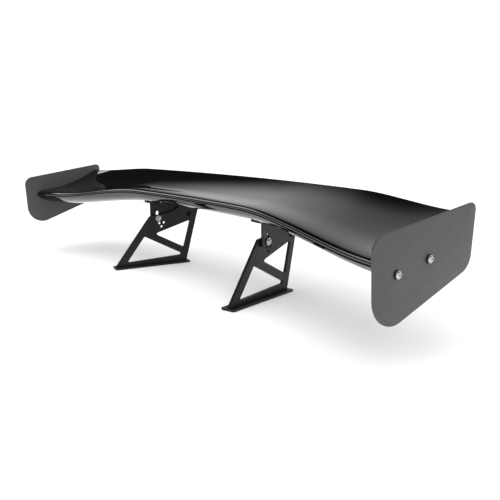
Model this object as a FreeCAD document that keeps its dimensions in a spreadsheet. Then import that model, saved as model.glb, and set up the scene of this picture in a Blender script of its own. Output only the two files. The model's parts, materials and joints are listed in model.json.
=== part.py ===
import FreeCAD, Part
import math
import os
import Sketcher

# Racing rear wing: a twisted two-skin blade between two end plates, carried by a pair of
# toed-in stand plates. The blade turns on two pivot bolts and is clamped in curved slots.
# Frame: +X along the span, +Y to the rear, +Z up; origin under the middle of the wing.

doc = FreeCAD.newDocument("rear_wing")
V = FreeCAD.Vector
RIGHT, LEFT = 1, -1
SIDE_NAME = {RIGHT: "right", LEFT: "left"}
UP = V(0, 0, 1)

# Driving dimensions, in millimetres, degrees or shares of the chord.
SIZES = [
    ("wing_span", 1600, "over the outer faces of the end plates"),
    ("feet_setback", 15.2, "foot centres behind the middle of the overall depth"),
    # blade
    ("chord_middle", 205.8, "nose to tail in plan, at the middle"),
    ("chord_tip", 225.3, "nose to tail in plan, at the end plates"),
    ("nose_lead", 41, "nose at the middle, ahead of the foot centres"),
    ("nose_sweep", 113.5, "tips of the nose, ahead of its middle"),
    ("nose_rise", 80.5, "nose at the middle, above the pivot"),
    ("nose_drop", 41, "how far the nose comes down towards the tips"),
    ("nose_drop_start", 255, "from the middle, where the nose starts to drop"),
    ("nose_drop_end", 725, "from the middle, where the drop is complete"),
    ("tail_rise", 129.5, "tail at the middle, above the pivot"),
    ("tail_drop", 15, "how far the tail comes down towards the tips"),
    ("tail_drop_start", 480, "from the middle"),
    ("tail_drop_end", 760, "from the middle"),
    ("thick_share", 0.215, "section thickness, share of the chord"),
    ("camber_share", 0.13, "section camber, share of the chord"),
    ("camber_place", 0.42, "deepest camber behind the nose, share of the chord"),
    ("tail_edge", 3.4, "thickness of the trailing edge"),
    ("skin_wall", 3, "moulded skin"),
    ("tail_bond", 26, "width of the glued strip along the tail"),
    ("glue_line", 0.4, "glue between the skins and what is inside them"),
    ("spar_wall", 4, "thickness of each spar web"),
    ("front_spar_share", 0.22, "spar behind the nose, share of the chord"),
    ("rear_spar_share", 0.62, "spar behind the nose, share of the chord"),
    ("end_rib_wall", 12, "closing rib at each tip"),
    # end plates
    ("plate_thick", 5, "end plate"),
    ("plate_front_margin", 42, "plate ahead of the nose"),
    ("plate_rear_margin", 20.7, "plate behind the tail"),
    ("plate_top_margin", 22.8, "rear top corner above the tail"),
    ("plate_top_slope", 37.3, "front top corner below the rear one"),
    ("plate_front_height", 177, "front edge, corner to corner"),
    ("plate_rear_height", 124.3, "rear edge, corner to corner"),
    ("plate_front_lean", 6.5, "lower front corner behind the upper one"),
    ("plate_rear_lean", 12, "lower rear corner ahead of the upper one"),
    ("plate_top_front_radius", 28, ""),
    ("plate_top_rear_radius", 14, ""),
    ("plate_low_front_radius", 54, ""),
    ("plate_low_rear_radius", 38, ""),
    ("plate_edge_break", 0.8, "bevel round the rim"),
    ("plate_screw_front_back", 20, "front screw behind the nose"),
    ("plate_screw_front_up", -7, "front screw above the nose"),
    ("plate_screw_rear_back", 106.5, "rear screw behind the nose"),
    ("plate_screw_rear_up", 7.5, "rear screw above the nose"),
    # stands
    ("stand_spacing", 530.8, "between the foot centres"),
    ("toe_angle", 12, "stands turned inwards at the rear"),
    ("stand_thick", 8, "stand plate"),
    ("foot_length", 239, ""),
    ("foot_width", 40, ""),
    ("foot_thick", 6, ""),
    ("foot_corner", 3, "rounded corner of the foot"),
    ("stand_front_inset", 3.5, "plate behind the front end of the foot"),
    ("stand_rear_inset", 6.5, "plate ahead of the rear end of the foot"),
    ("pivot_height", 152, "pivot bolt above the ground"),
    ("pivot_back", 126, "pivot bolt behind the foot centre, along the stand"),
    ("stand_front_top_back", -3, "front top corner behind the foot centre"),
    ("stand_front_top_rise", 2, "above the pivot"),
    ("stand_mid_top_back", 72, "lower bend of the top edge behind the foot centre"),
    ("stand_mid_top_rise", 12, "above the pivot"),
    ("stand_crest_back", 116, "upper bend, under the blade"),
    ("stand_crest_rise", 39, "above the pivot"),
    ("stand_rear_top_back", 166, "rear top corner behind the foot centre"),
    ("stand_rear_top_rise", 46, "above the pivot"),
    ("stand_corner", 4, "outer corners"),
    ("stand_bend", 100, "radius of the two bends of the top edge"),
    ("window_corner", 4, "corners of the two windows"),
    ("front_member", 21.8, "strip between the front edge and the lower window"),
    ("rear_member", 18, "strip between the upper window and the rear edge"),
    ("rear_heel", 12, "strip between the lower window and the rear edge"),
    ("brace_width", 21.4, "diagonal strip between the windows"),
    ("lower_window_front_up", 10.5, "above the foot"),
    ("lower_window_rear_up", 18.5, "above the foot"),
    ("lower_window_apex_drop", 59, "below the pivot"),
    ("upper_window_front_drop", 53, "below the pivot"),
    ("upper_window_top_drop", 18, "below the pivot"),
    # bolted joint between bracket and stand
    ("clamp_back", 25, "clamp bolt behind the foot centre"),
    ("clamp_drop", 5.5, "clamp bolt below the pivot"),
    ("swing_angle", 10, "how far the nose can be turned down"),
    ("bolt_diameter", 8, "pivot and clamp bolts"),
    ("bolt_play", 0.8, "added to the bolt's diameter in the bracket"),
    ("bracket_gap", 2.2, "between the stand plate and the bracket"),
    ("spacer_slack", 0.8, "free space between the spacers and the bracket"),
    ("pivot_slack", 0.65, "free space outside the bracket at the pivot"),
    ("clamp_slack", 1.1, "free space outside the bracket at the clamp"),
    ("washer_wall", 1.6, ""),
    ("washer_diameter", 18, ""),
    ("taper_washer_wall", 1, "thin side of the tapered pivot washers"),
    ("head_diameter", 14, "button head of the bolts"),
    ("head_height", 4.4, ""),
    ("socket_flats", 5, "across the hexagon socket"),
    ("nut_flats", 13, ""),
    ("nut_height", 6.5, ""),
    ("bolt_tail", 3, "bolt past the nut"),
    ("spare_one_back", 28.6, "spare clamp holes, behind the foot centre"),
    ("spare_one_drop", 21, "and below the pivot"),
    ("spare_two_back", 43, ""),
    ("spare_two_drop", 20, ""),
    ("spare_three_back", 35, ""),
    ("spare_three_drop", 32, ""),
    # brackets
    ("bracket_wall", 5, "upright web"),
    ("flange_wall", 5, "plate under the blade"),
    ("flange_width", 24, ""),
    ("flange_lead", 12.5, "flange ahead of the foot centre"),
    ("flange_end", 105, "flange behind the foot centre"),
    ("flange_relief", 0.15, "paint and glue between flange and skin"),
    ("web_front_back", 3.5, "front edge of the web behind the foot centre"),
    ("web_bottom_drop", 17, "lower edge of the web below the pivot"),
    ("pivot_boss", 14, "radius of the web round the pivot"),
    ("bracket_screw_diameter", 5, ""),
    ("bracket_screw_length", 16, ""),
    ("bracket_screw_head", 9.5, "head diameter"),
    ("bracket_screw_head_height", 2.8, ""),
    ("bracket_screw_front", 18, "behind the foot centre"),
    ("bracket_screw_rear", 58, "behind the foot centre"),
    ("bracket_screw_middle", 38, "behind the foot centre"),
    ("bracket_screw_inset", 11, "row of screws inboard of the middle of the web"),
    ("hardpoint_wall", 9, "tapped block inside the skin"),
    ("hardpoint_margin", 9, "block past the screws, lengthwise"),
    ("hardpoint_width", 22, ""),
    # end plate fasteners
    ("plate_screw_diameter", 6, ""),
    ("plate_screw_head", 15, "flanged button head"),
    ("plate_screw_head_height", 3.5, ""),
    ("plate_socket_flats", 4, "across the hexagon socket"),
    ("plate_washer_diameter", 17, ""),
    ("plate_washer_wall", 3, "raised black washer"),
    ("insert_diameter", 8, "threaded insert in the end rib"),
    # feet
    ("foot_hole_diameter", 6.6, "mounting holes"),
    ("foot_hole_across", 26, "between the holes of a pair"),
    ("foot_hole_inset", 14, "from the end of the foot"),
    ("foot_screw_diameter", 5, ""),
    ("foot_screw_head", 9.6, "countersunk head"),
    ("foot_screw_sink", 0.3, "head below the underside"),
    ("foot_screw_length", 20, ""),
    ("foot_screw_pitch", 84, "between the screws that hold each plate"),
]


def make_sheet():
    """Puts every driving dimension in a spreadsheet cell with an alias."""
    table = doc.addObject("Spreadsheet::Sheet", "Sizes")
    for row, (alias, value, note) in enumerate(SIZES, start=1):
        table.set(f"A{row}", alias)
        table.set(f"B{row}", str(value))
        table.setAlias(f"B{row}", alias)
        table.set(f"C{row}", note)
    doc.recompute()
    return table


sheet = make_sheet()


def size(alias):
    return float(sheet.get(alias))


def bind(thing, path, formula):
    """Binds a property to a formula of sheet names, each written with a leading $."""
    thing.setExpression(path, formula.replace("$", "Sizes."))


def tag(thing, label):
    """Names a finished sub-part and lists it for export."""
    thing.Label = label
    NODES.append(thing)
    return thing


def shaped(label, shape, placement=FreeCAD.Placement()):
    """A sub-part whose curved solid is made directly."""
    if shape.Volume < 0:
        shape.reverse()
    feature = doc.addObject("Part::Feature", label)
    feature.Shape = shape
    feature.Placement = placement
    return tag(feature, label)


NODES = []

# ---------------------------------------------------------------- blade section


def smooth(share):
    share = min(max(share, 0.0), 1.0)
    return share * share * (3 - 2 * share)


def tip_share(x):
    return abs(x) / blade_end()


def nose_point(x):
    """Foremost point of the section at x, as (y, z)."""
    start, end = size("nose_drop_start"), size("nose_drop_end")
    y = size("feet_setback") - size("nose_lead") - size("nose_sweep") * tip_share(x) ** 2
    drop = size("nose_drop") * smooth((abs(x) - start) / (end - start))
    return y, size("pivot_height") + size("nose_rise") - drop


def tail_point(x):
    """Rearmost point of the section at x, as (y, z)."""
    start, end = size("tail_drop_start"), size("tail_drop_end")
    gain = size("chord_tip") - size("chord_middle")
    y = nose_point(x)[0] + size("chord_middle") + gain * tip_share(x) ** 2
    drop = size("tail_drop") * smooth((abs(x) - start) / (end - start))
    return y, size("pivot_height") + size("tail_rise") - drop


def chord_length(x):
    (y0, z0), (y1, z1) = nose_point(x), tail_point(x)
    return math.hypot(y1 - y0, z1 - z0)


def camber(k):
    """Mean line of the section, share of the chord; it hangs below the chord."""
    deep, place = size("camber_share"), size("camber_place")
    if k < place:
        return -deep / place**2 * (2 * place * k - k * k)
    return -deep / (1 - place) ** 2 * ((1 - 2 * place) + 2 * place * k - k * k)


def half_thickness(k, chord):
    """Four-digit thickness law with a blunt trailing edge, share of the chord."""
    law = 0.2969 * math.sqrt(k) - 0.1260 * k - 0.3516 * k**2 + 0.2843 * k**3 - 0.1036 * k**4
    return 5 * size("thick_share") * law + k * size("tail_edge") / 2 / chord


def section_xy(k, face, chord):
    """Point of the outer surface in chord axes: face is 1 above, -1 below, 0 mean line."""
    return k * chord, (camber(k) + face * half_thickness(k, chord)) * chord


def on_section(x, along, across):
    """From chord axes to space, at the section x."""
    (y0, z0), (y1, z1) = nose_point(x), tail_point(x)
    chord = chord_length(x)
    ey, ez = (y1 - y0) / chord, (z1 - z0) / chord
    return V(x, y0 + along * ey - across * ez, z0 + along * ez + across * ey)


def outer_point(x, k, face):
    return on_section(x, *section_xy(k, face, chord_length(x)))


def bond_start(x):
    """Chord share where the two skins meet ahead of the tail."""
    return 1 - size("tail_bond") / chord_length(x)


def inner_point(x, k, face, glue=0.0):
    """Inside of the skin: one wall in from the outer surface, closing on the mean line."""
    chord, wall, step = chord_length(x), size("skin_wall") + glue, 1e-4
    if k < step:
        return on_section(x, wall, 0)
    a0, b0 = section_xy(k - step, face, chord)
    a1, b1 = section_xy(k + step, face, chord)
    length = math.hypot(a1 - a0, b1 - b0)
    along, across = section_xy(k, face, chord)
    along += face * wall * (b1 - b0) / length
    across -= face * wall * (a1 - a0) / length
    close = smooth((k - bond_start(x) + CLOSING) / CLOSING)
    mean_along, mean_across = section_xy(k, 0, chord)
    along += (mean_along - along) * close
    across += (mean_across - across) * close
    return on_section(x, along, across)


CLOSING = 0.16       # share of the chord over which the cavity closes
CURVE_POINTS = 17    # points along one face of a section
STATIONS = 25        # sections along the span


def shares(end=1.0):
    """Chord shares bunched at the nose, where the section bends most."""
    return [end * (1 - math.cos(math.pi / 2 * i / CURVE_POINTS)) for i in range(CURVE_POINTS + 1)]


def spline(points):
    curve = Part.BSplineCurve()
    curve.interpolate(points)
    return curve.toShape()


def blade_end():
    return size("wing_span") / 2 - size("plate_thick")


def stations(reach):
    return [reach * (2 * i / (STATIONS - 1) - 1) for i in range(STATIONS)]


def skin_wire(x, face):
    """Closed outline of one skin at x: outside, tail, glued strip, inside, nose joint."""
    outside = [outer_point(x, k, face) for k in shares()]
    inside = [inner_point(x, k, face) for k in shares(bond_start(x))]
    seam = V(0, 0, face * size("glue_line") / 2)
    outside[0] += seam
    inside[0] += seam
    inside[-1] += seam
    tail_middle = outer_point(x, 1, 0) + seam
    edges = [
        spline(outside),
        Part.makeLine(outside[-1], tail_middle),
        Part.makeLine(tail_middle, inside[-1]),
        spline(inside[::-1]),
        Part.makeLine(inside[0], outside[0]),
    ]
    return Part.Wire(edges)


def skin(face):
    return Part.makeLoft([skin_wire(x, face) for x in stations(blade_end())], True, False)


def spar(share):
    """Upright web between the skins, following the blade at one share of the chord."""
    wires = []
    for x in stations(blade_end() - size("end_rib_wall")):
        half = size("spar_wall") / 2 / chord_length(x)
        glue = size("glue_line")
        corners = [
            inner_point(x, share - half, 1, glue),
            inner_point(x, share + half, 1, glue),
            inner_point(x, share + half, -1, glue),
            inner_point(x, share - half, -1, glue),
        ]
        wires.append(Part.makePolygon(corners + corners[:1]))
    return Part.makeLoft(wires, True, False)


def cavity_wire(x):
    """Outline of a rib at x: the hollow between the skins, up to where they close."""
    glue, end = size("glue_line"), bond_start(x) - CLOSING
    above = [inner_point(x, k, 1, glue) for k in shares(end)]
    below = [inner_point(x, k, -1, glue) for k in shares(end)]
    back = Part.makeLine(above[-1], below[-1])
    return Part.Wire([spline(above), back, spline(below[::-1])])


def rod(start, direction, diameter, length):
    return Part.makeCylinder(diameter / 2, length, start, direction)


def plate_screw_points():
    """The two screws of an end plate, as (y, z)."""
    y, z = nose_point(blade_end())
    for row in ("front", "rear"):
        yield y + size(f"plate_screw_{row}_back"), z + size(f"plate_screw_{row}_up")


def end_rib(side):
    """Closing rib glued into the tip, bored for the two threaded inserts."""
    reach, wall = blade_end(), size("end_rib_wall")
    rib = Part.makeLoft([cavity_wire(side * (reach - wall)), cavity_wire(side * reach)], True, True)
    for y, z in plate_screw_points():
        start = V(side * (reach - wall), y, z)
        rib = rib.cut(rod(start, V(side, 0, 0), size("insert_diameter"), wall))
    return rib


# ---------------------------------------------------------------- toed frame of the stands


def stand_frame(side, out=0.0):
    """Local axes of one stand: Y runs rearward along it, Z up; out moves outboard."""
    angle = math.radians(size("toe_angle"))
    x = side * (size("stand_spacing") / 2 + out * math.cos(angle))
    y = size("feet_setback") + out * math.sin(angle)
    return FreeCAD.Placement(V(x, y, 0), FreeCAD.Rotation(UP, side * size("toe_angle")))


def web_middle():
    """Middle of the bracket's web, outboard of the middle of the stand plate."""
    return size("stand_thick") / 2 + size("bracket_gap") + size("bracket_wall") / 2


def outboard(side):
    return stand_frame(side).Rotation.multVec(V(side, 0, 0))


def under_blade(x, y, inside=False):
    """Height of the blade's lower surface (outside or inside of the skin) over (x, y)."""
    place = inner_point if inside else outer_point
    low, high = 0.02, 0.98 * bond_start(x)
    for _ in range(40):
        middle = (low + high) / 2
        if place(x, middle, -1).y < y:
            low = middle
        else:
            high = middle
    return place(x, low, -1).z


def blade_patch(side, front, rear, middle, width, inside):
    """Piece of the blade's lower surface over a strip along the stand; middle is from the web."""
    frame = stand_frame(side, web_middle() + middle)
    rows = []
    for i in range(PATCH_ROWS):
        row = []
        for j in range(PATCH_COLUMNS):
            across = width * (j / (PATCH_COLUMNS - 1) - 0.5)
            along = front + (rear - front) * i / (PATCH_ROWS - 1)
            point = frame.multVec(V(across, along, 0))
            point.z = under_blade(point.x, point.y, inside)
            row.append(point)
        rows.append(row)
    surface = Part.BSplineSurface()
    surface.interpolate(rows)
    return surface.toShape()


PATCH_ROWS, PATCH_COLUMNS = 13, 7


def slab(face, rise):
    """Gives a patch its thickness, straight up or down."""
    solid = face.extrude(V(0, 0, rise))
    if solid.Volume < 0:
        solid.reverse()
    return solid


def bracket_screw_axes(side):
    """Places of the screws under the blade: point on the flange's underside, direction up."""
    frame = stand_frame(side, web_middle() - size("bracket_screw_inset"))
    step = 0.5
    for row in ("front", "middle", "rear"):
        p = frame.multVec(V(0, size(f"bracket_screw_{row}"), 0))
        slope_x = (under_blade(p.x + step, p.y) - under_blade(p.x - step, p.y)) / (2 * step)
        slope_y = (under_blade(p.x, p.y + step) - under_blade(p.x, p.y - step)) / (2 * step)
        upward = V(-slope_x, -slope_y, 1).normalize()
        p.z = under_blade(p.x, p.y) - size("flange_wall") - 2 * size("flange_relief")
        yield p, upward


def screw_holes(side, diameter):
    """Cylinders through flange, skin and block, for cutting."""
    reach = size("bracket_screw_length")
    return [rod(p - d * reach / 2, d, diameter, 2 * reach) for p, d in bracket_screw_axes(side)]


def drilled(shape, tools):
    for tool in tools:
        shape = shape.cut(tool)
    return shape


def arc_slot(radius, half_width, middle, start, end, depth):
    """Curved slot about a centre, in local YZ, angles in degrees, cut through in X."""

    def at(r, angle):
        turn = math.radians(angle)
        return middle + V(0, r * math.cos(turn), r * math.sin(turn))

    def arc(p, q, r):
        return Part.Arc(p, q, r).toShape()

    inner, outer = radius - half_width, radius + half_width
    mean = (start + end) / 2
    cap = math.degrees(half_width / radius)
    sign = 1 if end > start else -1
    wire = Part.Wire([
        arc(at(outer, start), at(outer, mean), at(outer, end)),
        arc(at(outer, end), at(radius, end + sign * cap), at(inner, end)),
        arc(at(inner, end), at(inner, mean), at(inner, start)),
        arc(at(inner, start), at(radius, start - sign * cap), at(outer, start)),
    ])
    tool = Part.Face(wire).extrude(V(depth, 0, 0))
    tool.translate(V(-depth / 2, 0, 0))
    return tool


def web_plate(side):
    """Upright web of a bracket in the stand's local axes, with pivot hole and slot."""
    frame, wall = stand_frame(side, web_middle()), size("bracket_wall")
    pivot = V(0, size("pivot_back"), size("pivot_height"))
    front, rear = size("web_front_back"), size("flange_end")
    bottom = size("pivot_height") - size("web_bottom_drop")
    top = []
    for i in range(PATCH_ROWS):
        along = front + (rear - front) * i / (PATCH_ROWS - 1)
        p = frame.multVec(V(0, along, 0))
        top.append(V(0, along, under_blade(p.x, p.y) - size("flange_wall") / 2))
    boss = size("pivot_boss")
    shoulder = pivot + V(0, boss * math.cos(BOSS_TURN), boss * math.sin(BOSS_TURN))
    foot = pivot - V(0, 0, boss)
    heel = V(0, front, bottom)
    edges = [
        spline(top),
        Part.makeLine(top[-1], shoulder),
        Part.makeLine(shoulder, foot),
        Part.makeLine(foot, heel),
        Part.makeLine(heel, top[0]),
    ]
    web = Part.Face(Part.Wire(edges)).extrude(V(wall, 0, 0))
    web.translate(V(-wall / 2, 0, 0))
    web = web.fuse(rod(pivot - V(wall / 2, 0, 0), V(1, 0, 0), 2 * boss, wall))
    hole = size("bolt_diameter") + size("bolt_play")
    hinge = frame.Rotation.inverted().multVec(V(1, 0, 0))
    web = web.cut(rod(pivot - hinge * 2 * wall, hinge, hole, 4 * wall))
    reach = V(0, size("clamp_back") - size("pivot_back"), -size("clamp_drop"))
    start = math.degrees(math.atan2(reach.z, reach.y)) % 360
    end = start - size("swing_angle")
    return web.cut(arc_slot(reach.Length, hole / 2, pivot, start, end, 2 * wall))


BOSS_TURN = math.radians(20)


def bracket(side):
    """Bracket between blade and stand: a flange shaped to the skin and an upright web."""
    front, rear = -size("flange_lead"), size("flange_end")
    middle = (size("bracket_wall") - size("flange_width")) / 2
    patch = blade_patch(side, front, rear, middle, size("flange_width"), False)
    patch.translate(V(0, 0, -size("flange_relief")))
    flange = slab(patch, -size("flange_wall"))
    web = web_plate(side)
    web.Placement = stand_frame(side, web_middle())
    whole = flange.fuse(web).removeSplitter()
    hole = size("bracket_screw_diameter") + 2 * SCREW_PLAY
    return drilled(whole, screw_holes(side, hole)).Solids[0]


SCREW_PLAY = 0.2


def hardpoint(side):
    """Tapped metal block glued inside the lower skin, above the bracket."""
    front = size("bracket_screw_front") - size("hardpoint_margin")
    rear = size("bracket_screw_rear") + size("hardpoint_margin")
    middle = -size("bracket_screw_inset")
    patch = blade_patch(side, front, rear, middle, size("hardpoint_width"), True)
    patch.translate(V(0, 0, size("glue_line")))
    block = slab(patch, size("hardpoint_wall"))
    return drilled(block, screw_holes(side, size("bracket_screw_diameter")))


# ---------------------------------------------------------------- sketches for flat plates


def plane_of(body, role):
    return next(f for f in body.Origin.OriginFeatures if f.Role == role)


def new_sketch(body, name, role):
    sketch = body.newObject("Sketcher::SketchObject", name)
    sketch.AttachmentSupport = [(plane_of(body, role), "")]
    sketch.MapMode = "FlatFace"
    return sketch


def loop(sketch, guesses):
    """Closed chain of lines; returns the index of the first."""
    first = sketch.GeometryCount
    for i, start in enumerate(guesses):
        end = guesses[(i + 1) % len(guesses)]
        sketch.addGeometry(Part.LineSegment(V(*start, 0), V(*end, 0)), False)
    for i in range(len(guesses)):
        follower = first + (i + 1) % len(guesses)
        sketch.addConstraint(Sketcher.Constraint("Coincident", first + i, 2, follower, 1))
    return first


def place_point(sketch, geometry, position, across=None, up=None):
    """Holds a point at formulas measured from the sketch's origin."""
    for kind, formula in (("DistanceX", across), ("DistanceY", up)):
        if formula is None:
            continue
        if formula == "0":
            axis = -2 if kind == "DistanceX" else -1
            sketch.addConstraint(Sketcher.Constraint("PointOnObject", geometry, position, axis))
            continue
        held = Sketcher.Constraint(kind, -1, 1, geometry, position, evaluated(formula))
        bind(sketch, f"Constraints[{sketch.addConstraint(held)}]", formula)


def evaluated(formula):
    """Value of a formula of sheet names, read by the sheet itself."""
    return float(sheet.evalExpression(formula.replace("$", "")))


def keep_off(sketch, geometry, line, formula):
    """Holds the start of a line at a distance from another line."""
    index = sketch.addConstraint(Sketcher.Constraint("Distance", geometry, 1, line, evaluated(formula)))
    bind(sketch, f"Constraints[{index}]", formula)


def circles(body, name, role, rows):
    """Sketch of circles, each row (across, up, diameter) in formulas."""
    sketch = new_sketch(body, name, role)
    for across, up, diameter in rows:
        centre = V(evaluated(across), evaluated(up), 0)
        index = sketch.addGeometry(Part.Circle(centre, UP, evaluated(diameter) / 2), False)
        place_point(sketch, index, 3, across, up)
        held = sketch.addConstraint(Sketcher.Constraint("Diameter", index, evaluated(diameter)))
        bind(sketch, f"Constraints[{held}]", diameter)
    return sketch


def pad(body, name, sketch, length):
    feature = body.newObject("PartDesign::Pad", name)
    feature.Profile = sketch
    bind(feature, "Length", length)
    sketch.Visibility = False
    doc.recompute()
    return feature


def pocket(body, name, sketch, length=None):
    """Cuts a sketch through the body, or to a depth, on whichever side the metal is."""
    before = body.Shape.Volume
    feature = body.newObject("PartDesign::Pocket", name)
    feature.Profile = sketch
    if length is None:
        feature.Type = "ThroughAll"
        feature.Midplane = True
    else:
        bind(feature, "Length", length)
    doc.recompute()
    if length is not None and before - body.Shape.Volume < VOLUME_STEP:
        feature.Reversed = True
        doc.recompute()
    if before - body.Shape.Volume < VOLUME_STEP:
        raise RuntimeError(f"{body.Label}: {name} cuts nothing")
    return feature


VOLUME_STEP = 1.0


def across_edges(feature, direction):
    """Straight edges along a direction, as (name, middle point)."""
    for i, edge in enumerate(feature.Shape.Edges, start=1):
        if edge.Curve.TypeId != "Part::GeomLine":
            continue
        if abs(edge.tangentAt(edge.FirstParameter).dot(direction)) > 0.999:
            yield f"Edge{i}", edge.CenterOfMass


def round_corners(body, name, direction, corners, radius):
    """Rounds the edges along a direction that stand nearest to the given corners."""
    base = body.Tip
    edges = list(across_edges(base, direction))
    chosen = []
    for corner in corners:
        gap = [(flat(middle - corner, direction).Length, edge) for edge, middle in edges]
        chosen.append(min(gap)[1])
    feature = body.newObject("PartDesign::Fillet", name)
    feature.Base = (base, chosen)
    bind(feature, "Radius", radius)
    doc.recompute()
    return feature


def flat(vector, direction):
    return vector - direction * vector.dot(direction)


def break_rim(body, name, direction, formula):
    """Bevels every edge of the two large flat faces."""
    base = body.Tip
    faces = []
    for i, face in enumerate(base.Shape.Faces, start=1):
        if abs(face.normalAt(0, 0).dot(direction)) > 0.999:
            faces.append(f"Face{i}")
    feature = body.newObject("PartDesign::Chamfer", name)
    feature.Base = (base, faces)
    bind(feature, "Size", formula)
    doc.recompute()
    return feature


# ---------------------------------------------------------------- plates


STAND_OUTLINE = [
    ("-$foot_length / 2 + $stand_front_inset", "$foot_thick"),
    ("$stand_front_top_back", "$pivot_height + $stand_front_top_rise"),
    ("$stand_mid_top_back", "$pivot_height + $stand_mid_top_rise"),
    ("$stand_crest_back", "$pivot_height + $stand_crest_rise"),
    ("$stand_rear_top_back", "$pivot_height + $stand_rear_top_rise"),
    ("$foot_length / 2 - $stand_rear_inset", "$foot_thick"),
]
SPARE_HOLES = ("one", "two", "three")
WEB_MIDDLE = "($stand_thick / 2 + $bracket_gap + $bracket_wall / 2)"
PIVOT_ACROSS = f"$pivot_back * cos($toe_angle) + {WEB_MIDDLE} * sin($toe_angle)"


def mixed(corners, weights):
    total = sum(weights)
    return tuple(sum(w * c[i] for w, c in zip(weights, corners)) / total for i in (0, 1))


def stand_sketch(body):
    """Outline of a stand plate with its two windows, set off from the outline."""
    sketch = new_sketch(body, f"{body.Name}_outline", "YZ_Plane")
    bind(sketch, "AttachmentOffset.Base.z", "-$stand_thick / 2")
    outer = [(evaluated(a), evaluated(b)) for a, b in STAND_OUTLINE]
    loop(sketch, outer)
    front_edge, rear_edge = 0, 4
    for i, (across, up) in enumerate(STAND_OUTLINE):
        place_point(sketch, i, 1, across, up)
    lower = loop(sketch, [
        mixed(outer, (8, 1, 0, 0, 0, 1)),
        mixed(outer, (3, 5, 0, 0, 1, 1)),
        mixed(outer, (2, 0, 0, 0, 1, 17)),
    ])
    place_point(sketch, lower, 1, up="$foot_thick + $lower_window_front_up")
    place_point(sketch, lower + 1, 1, up="$pivot_height - $lower_window_apex_drop")
    place_point(sketch, lower + 2, 1, up="$foot_thick + $lower_window_rear_up")
    keep_off(sketch, lower, front_edge, "$front_member")
    keep_off(sketch, lower + 1, front_edge, "$front_member")
    keep_off(sketch, lower + 2, rear_edge, "$rear_heel")
    diagonal = lower + 1
    upper = loop(sketch, [
        mixed(outer, (3, 8, 0, 0, 4, 5)),
        mixed(outer, (0, 2, 0, 0, 13, 5)),
        mixed(outer, (2, 0, 0, 0, 5, 13)),
    ])
    place_point(sketch, upper, 1, up="$pivot_height - $upper_window_front_drop")
    place_point(sketch, upper + 1, 1, up="$pivot_height - $upper_window_top_drop")
    keep_off(sketch, upper, diagonal, "$brace_width")
    keep_off(sketch, upper + 1, rear_edge, "$rear_member")
    keep_off(sketch, upper + 2, diagonal, "$brace_width")
    keep_off(sketch, upper + 2, rear_edge, "$rear_member")
    doc.recompute()
    return sketch


def sketch_corners(sketch, indices):
    points = [sketch.getPoint(i, 1) for i in indices]
    return [V(0, p.x, p.y) for p in points]


def put_in_stand_frame(thing, side):
    thing.Placement = stand_frame(side)
    turn = FreeCAD.Rotation(UP * side, size("toe_angle"))
    thing.Placement = FreeCAD.Placement(thing.Placement.Base, turn)
    bind(thing, "Placement.Rotation.Angle", "$toe_angle")
    bind(thing, "Placement.Base.x", "-$stand_spacing / 2" if side == LEFT else "$stand_spacing / 2")
    bind(thing, "Placement.Base.y", "$feet_setback")
    doc.recompute()


def stand_plate(side):
    """Flat alloy plate with two triangular windows, bolt holes and tapped lower edge."""
    label = f"{SIDE_NAME[side]}_stand_plate"
    body = doc.addObject("PartDesign::Body", label)
    sketch = stand_sketch(body)
    pad(body, f"{label}_pad", sketch, "$stand_thick")
    across = V(1, 0, 0)
    round_corners(body, f"{label}_windows", across, sketch_corners(sketch, range(6, 12)), "$window_corner")
    round_corners(body, f"{label}_corners", across, sketch_corners(sketch, (1, 4)), "$stand_corner")
    round_corners(body, f"{label}_bends", across, sketch_corners(sketch, (2, 3)), "$stand_bend")
    rows = [("$clamp_back", "$pivot_height - $clamp_drop", "$bolt_diameter")]
    for name in SPARE_HOLES:
        rows.append((f"$spare_{name}_back", f"$pivot_height - $spare_{name}_drop", "$bolt_diameter"))
    pocket(body, f"{label}_holes", circles(body, f"{label}_hole_marks", "YZ_Plane", rows))
    rows = [(PIVOT_ACROSS, "$pivot_height", "$bolt_diameter")]
    hinge = circles(body, f"{label}_pivot_mark", "YZ_Plane", rows)
    hinge.AttachmentOffset = FreeCAD.Placement(V(), FreeCAD.Rotation(V(0, -side, 0), size("toe_angle")))
    bind(hinge, "AttachmentOffset.Rotation.Angle", "$toe_angle")
    pocket(body, f"{label}_pivot_hole", hinge)
    taps = circles(body, f"{label}_tap_marks", "XY_Plane", foot_screw_rows("$foot_screw_diameter"))
    bind(taps, "AttachmentOffset.Base.z", "$foot_thick")
    pocket(body, f"{label}_taps", taps, "$foot_screw_length - $foot_thick + 1")
    put_in_stand_frame(body, side)
    return tag(body, label)


def foot_screw_rows(diameter):
    return [("0", place, diameter) for place in ("-$foot_screw_pitch", "0", "$foot_screw_pitch")]


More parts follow.
